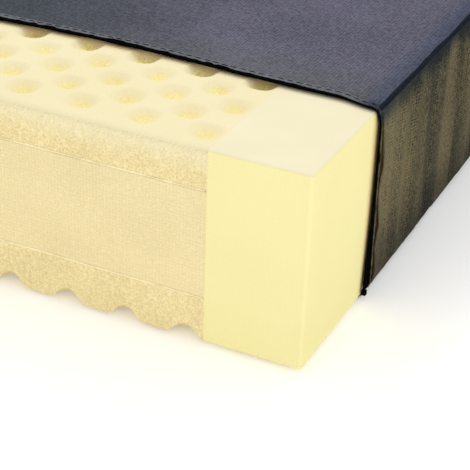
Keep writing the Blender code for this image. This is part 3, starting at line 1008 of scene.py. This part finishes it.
def build_base():
    """The base cloth, stepped up over the folded foot panel."""
    fold_end = flap_coil_high.y + 5 * MM
    ys = lines(
        (OPEN_Y, fold_end, 12 * MM),
        (fold_end, fold_end + 14 * MM, 2 * MM),
        (fold_end + 14 * MM, base_high.y, 30 * MM),
    )
    xs = lines((base_low.x, base_high.x, 20 * MM))
    x, y = np.meshgrid(xs, ys, indexing="ij")
    raised = base_high.z - CLOTH
    z = raised * (1 - smoothstep(fold_end, fold_end + 12 * MM, y))
    ripple = 0.25 * MM * (1 + value_noise(x, y, 70 * MM, 81))
    z = z + ripple * smoothstep(fold_end + 12 * MM, fold_end + 60 * MM, y)
    points, faces = shell(np.stack([x, y, z + CLOTH], -1), np.stack([x, y, z], -1))
    piece = new_piece("cover_base", points, faces, "cover", BASE_FABRIC, degrees=60)
    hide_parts("cover_base_panel")


def seam_roll(name, node, start, end, radius, seed, sway, material):
    """A rolled seam between two points, slightly wavy, with small puckers."""
    start, end = np.array(start), np.array(end)
    length = np.linalg.norm(end - start)
    count = max(8, int(length / (5 * MM)))
    share = np.linspace(0, 1, count)
    path = start + (end - start) * share[:, None]
    distance = share * length
    axis = (end - start) / length
    first = np.cross(axis, (0, 0, 1.0))
    if np.linalg.norm(first) < 0.1:
        first = np.cross(axis, (0, 1.0, 0))
    first /= np.linalg.norm(first)
    second = np.cross(axis, first)
    calm = smoothstep(0, 12 * MM, np.minimum(distance, length - distance))
    for across, cell, turn in ((first, 38 * MM, 0), (second, 31 * MM, 1)):
        shift = sway * calm * value_noise(distance, 0, cell, seed + turn)
        path = path + across * shift[:, None]
    width = radius * (1 + 0.10 * value_noise(distance, 0, 9 * MM, seed + 2))[:, None]
    points, faces = sweep(path, width * first, width * second, ring_section(1.0, 12))
    piece = new_piece(name, points, faces, "cover", material, degrees=50)
    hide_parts(node)


def build_seams():
    for seed, node in enumerate(
        (
            "top_seam_right", "top_seam_left", "top_seam_head", "base_seam_right",
            "base_seam_left", "base_seam_head", "head_seam_right", "head_seam_left",
            "base_seam_foot",
        )
    ):
        low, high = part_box(node)
        size = high - low
        axis = max(range(3), key=lambda i: size[i])
        centre = (low + high) / 2
        start, end = centre.copy(), centre.copy()
        radius = 0.85 * min(size) / 2
        start[axis], end[axis] = low[axis], high[axis]
        sway = 0.45 * MM if radius > 1.5 * MM else 0.0
        material = SEAM_FABRIC
        if node in ("base_seam_right", "base_seam_left"):
            inward = -math.copysign(SEAM_TUCK, centre.x)
            start, end = start + Vector((inward, 0, 0)), end + Vector((1.5 * inward, 0, 0))
        if node.startswith("base") or node.startswith("head"):
            material = LOW_SEAM_FABRIC
        name = node.replace("seam", "rolled_seam")
        seam_roll(name, node, start, end, radius, 100 + 5 * seed, sway, material)


# The hem's outline, (back, out) from its front edge and the foam
HEM_SECTION = MM * np.array(
    [
        (0.9, 0.6), (0.2, 0.9), (-0.2, 1.6), (0.1, 2.4), (0.9, 3.0), (2.2, 3.2),
        (4.0, 2.8), (5.3, 2.4), (6.3, 1.9), (7.3, 2.1), (8.6, 2.0), (9.8, 1.7),
        (9.8, 1.0), (5.0, 1.0),
    ]
)


def hem_front(x, z):
    """Y of the fold of the mouth at a place round it."""
    return hem_low.y + hem_wander(x) + hem_side_wander(x, z)


def hem_spread(upward):
    """The hem's share of its full width: narrower down the sides than across the top."""
    return 0.64 + 0.36 * np.clip(upward, 0, 1)


def build_hem():
    """The folded hem round the mouth, in one run from base seam to base seam."""
    flat = u_path(SIDE_X, side_low.z - 1.0 * MM, FOAM_TOP, 2.0 * MM, FINE)
    tangent = frame_along(flat)
    normal = np.stack([tangent[:, 1], -tangent[:, 0]], -1)
    x, z = flat[:, :1], flat[:, 1:]
    run = distances(flat)
    puff = 1 + 0.10 * value_noise(run, 0, 14 * MM, 201)[:, None]
    pucker = 1 + 0.12 * value_noise(run, 0, 5 * MM, 202)[:, None]
    back, out = HEM_SECTION[None, :, 0], HEM_SECTION[None, :, 1]
    raised = 1.0 * MM + (out - 1.0 * MM) * puff * pucker
    out = np.where(out > 1.5 * MM, raised, out) - turned_under(z - flat[0, 1], 6.0 * MM)
    back = back * hem_spread(normal[:, 1:])
    points = np.stack(
        [x + normal[:, :1] * out, hem_front(x, z) + back + 0 * x, z + normal[:, 1:] * out], -1
    )
    faces = tube_faces(*points.shape[:2])
    piece = new_piece("hem_fold", points, faces, "cover", HEM_FABRIC, degrees=75)
    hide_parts("hem_top", "hem_right", "hem_left")

    at = lines((8 * MM, run[-1] - 8 * MM, STITCH_PITCH))
    x, z = (np.interp(at, run, flat[:, k]) for k in (0, 1))
    nx, nz = (np.interp(at, run, normal[:, k]) for k in (0, 1))
    y = hem_front(x, z) + STITCH_LINE * hem_spread(nz)
    middles = np.stack([x + nx * STITCH_LIFT, y, z + nz * STITCH_LIFT], -1)
    stitches = stitch_row("hem_stitches", middles, np.stack([nx, 0 * nx, nz], -1))


def stitch_row(name, middles, out):
    """A row of short raised stitches, each a small rounded thread."""
    rings = np.array([(-0.5, 0.25), (-0.3, 0.8), (0.0, 1.0), (0.3, 0.8), (0.5, 0.25)])
    section = ring_section(STITCH_WIDTH / 2, 6)
    along = frame_along(middles)
    points, faces = [], []
    for middle, forward, up in zip(middles, along, out):
        sideways = np.cross(forward, up)
        start = len(points)
        for share, swell in rings:
            centre = middle + forward * share * STITCH_LENGTH
            points.extend(centre + swell * (sideways * a + up * b) for a, b in section)
        stitch = tube_faces(len(rings), len(section))
        faces.extend(tuple(start + corner for corner in face) for face in stitch)
    return new_piece(name, points, faces, "cover", THREAD, degrees=80)


def u_path(half, low, high, radius, step):
    """Points up the right side, over and down the left, with rounded corners."""
    rise = lines((low, high - radius, step))
    turn = np.linspace(0, np.pi / 2, 8)[1:]
    over = lines((half - radius, -(half - radius), step))
    right = [(half, v) for v in rise]
    corner = [
        (half - radius + radius * math.cos(a), high - radius + radius * math.sin(a)) for a in turn
    ]
    top = [(u, high) for u in over[1:]]
    other = [(-u, v) for u, v in corner[::-1][1:]]
    left = [(-half, v) for v in rise[::-1]]
    return np.array(right + corner + top + other + left)


def coil_piece(name, node, path, normal_axis, body):
    """A zip's spiral of nylon along a path, as a fine wire wound round it."""
    distance = distances(path)
    per_turn = 6
    count = int(distance[-1] / SPIRAL_PITCH * per_turn)
    at = np.linspace(0, distance[-1], count)
    line = np.stack([np.interp(at, distance, path[:, k]) for k in range(3)], -1)
    side = np.tile(normal_axis, (count, 1))
    other = np.cross(frame_along(line), side)
    angle = np.arange(count)[:, None] * 2 * np.pi / per_turn
    spiral = line + SPIRAL_RADIUS * (np.cos(angle) * side + np.sin(angle) * other)
    tangent = frame_along(spiral)
    across = np.cross(tangent, side)
    across /= np.maximum(np.linalg.norm(across, axis=1, keepdims=True), 1e-9)
    out = np.cross(across, tangent)
    points, faces = sweep(spiral, across, out, ring_section(WIRE_RADIUS, 4))
    piece = new_piece(name, points, faces, body, COIL)
    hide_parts(node)


def build_zip():
    """The cover's half of the zip: its coil, and the tape back to the fold of the mouth."""
    half, top = coil_high.x - COIL_RADIUS, coil_high.z - COIL_RADIUS
    coil_y = (coil_low.y + coil_high.y) / 2
    flat = u_path(half, coil_low.z, top, ZIP_CORNER, 4 * MM)
    x, z = flat[:, 0], flat[:, 1]
    inner = np.clip(x, -SIDE_X, SIDE_X)
    path = np.stack([x, coil_y + zip_wander(inner) + zip_side_wander(x, z), z], -1)
    coil_piece("zip_teeth_cover", "zip_coil_cover", path, (0.0, 1.0, 0.0), "cover")
    out = np.cross(frame_along(path), (0, 1.0, 0))
    out *= TAPE_HALF / np.linalg.norm(out, axis=1, keepdims=True)
    start = path + np.array((0, -0.3 * MM, 0))
    end = path.copy()
    end[:, 1] = hem_front(inner, z) + 2.5 * MM
    points = np.stack([start - out, start + out, end + out, end - out], 1)
    faces = tube_faces(len(path), 4)
    piece = new_piece("zip_band_cover", points, faces, "cover", TAPE, degrees=40)
    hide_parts("zip_tape_cover")


def build_foot_panel():
    """The foot panel, lying folded under the base, with its half of the zip round its edge."""
    xs = lines((flap_low.x, flap_high.x, 15 * MM))
    ys = lines((flap_low.y, flap_high.y, 8 * MM))
    x, y = np.meshgrid(xs, ys, indexing="ij")
    z = 0.10 * MM * (1 + value_noise(x, y, 40 * MM, 91))
    points, faces = shell(np.stack([x, y, z + 0.8 * MM], -1), np.stack([x, y, z], -1))
    piece = new_piece("foot_flap_cloth", points, faces, "foot_flap", BORDER_FABRIC, degrees=60)
    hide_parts("foot_panel")
    half, far = flap_coil_high.x - COIL_RADIUS, flap_coil_high.y - COIL_RADIUS
    flat = u_path(half, flap_coil_low.y, far, 10 * MM, 4 * MM)
    path = np.stack([flat[:, 0], flat[:, 1], np.full(len(flat), COIL_RADIUS)], -1)
    coil_piece("zip_teeth_foot", "zip_coil_foot", path, (0.0, 0.0, 1.0), "foot_flap")


def finish_small_parts():
    """CAD nodes whose shape is right, with their finished materials."""
    for node, material in (
        ("zip_slider", METAL),
        ("zip_pull", METAL),
        ("zip_pull_pin", METAL),
        ("zip_stop_right", COIL),
        ("zip_stop_left", COIL),
        ("zip_tape_foot", TAPE),
    ):
        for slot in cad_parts[node].material_slots:
            slot.material = material


# ---------------- stage, light, camera


def build_stage():
    """A wide pale floor."""
    bpy.ops.mesh.primitive_plane_add(size=40, location=(0, 0, -0.0002))
    floor = bpy.context.object
    floor.name = "studio_floor"
    material, tree, shader = node_material("studio_floor")
    tone = noise(tree, object_coordinates(tree), 0.6)
    fill(
        tree, shader,
        Base_Color=ramp(tree, tone, (0.93, 0.93, 0.93), (0.96, 0.96, 0.96)),
        Emission_Color=(1, 1, 1, 1), Emission_Strength=0.19, Roughness=0.9,
        Specular_IOR_Level=0.1,
    )
    floor.data.materials.append(material)


def area_light(name, place, target, size, power):
    light = bpy.data.lights.new(name, "AREA")
    light.shape = "SQUARE"
    light.size = size
    light.energy = power
    lamp = add_object(name, light)
    lamp.location = place
    lamp.rotation_euler = (Vector(target) - Vector(place)).to_track_quat("-Z", "Y").to_euler()


def build_light():
    world = bpy.data.worlds.new("studio_world")
    world.use_nodes = True
    background = world.node_tree.nodes["Background"]
    background.inputs["Color"].default_value = (1.0, 1.0, 1.0, 1)
    background.inputs["Strength"].default_value = 0.80
    bpy.context.scene.world = world
    area_light("key", (-1.6, 1.8, 3.2), (0.1, -0.6, 0.1), 1.6, 68)
    area_light("fill", (2.4, -3.0, 1.8), (0.3, -0.8, 0.1), 2.5, 29)


def build_camera():
    """The camera looks down past the near corner of the block's foot end.

    The focal length is a share of the picture's width, and the corner's place is in the
    camera's own axes: right, up and back.
    """
    azimuth, elevation, roll = (math.radians(v) for v in (24.93, 29.92, -2.08))
    focal_share = 3.0957447
    corner = Vector((SIDE_X, FOOT_Y, FOAM_LOW))
    corner_seen = Vector((0.0450, -0.0930, -0.9927))
    level = math.cos(elevation)
    back = Vector((math.sin(azimuth) * level, -math.cos(azimuth) * level, math.sin(elevation)))
    right = Vector((math.cos(azimuth), math.sin(azimuth), 0))
    up = back.cross(right)
    turned = Matrix.Rotation(roll, 3, "Z") @ Matrix((right, up, back))
    data = bpy.data.cameras.new("photo_camera")
    data.sensor_width = 36.0
    data.lens = data.sensor_width * focal_share
    data.clip_start = 0.05
    camera = add_object("photo_camera", data)
    placed = turned.transposed().to_4x4()
    placed.translation = corner - turned.transposed() @ corner_seen
    camera.matrix_world = placed
    bpy.context.scene.camera = camera


build_camera()
build_foam()
build_top_panel()
build_borders()
build_base()
build_seams()
build_hem()
build_zip()
build_foot_panel()
finish_small_parts()
build_stage()
build_light()
bpy.context.scene.view_settings.view_transform = "Standard"
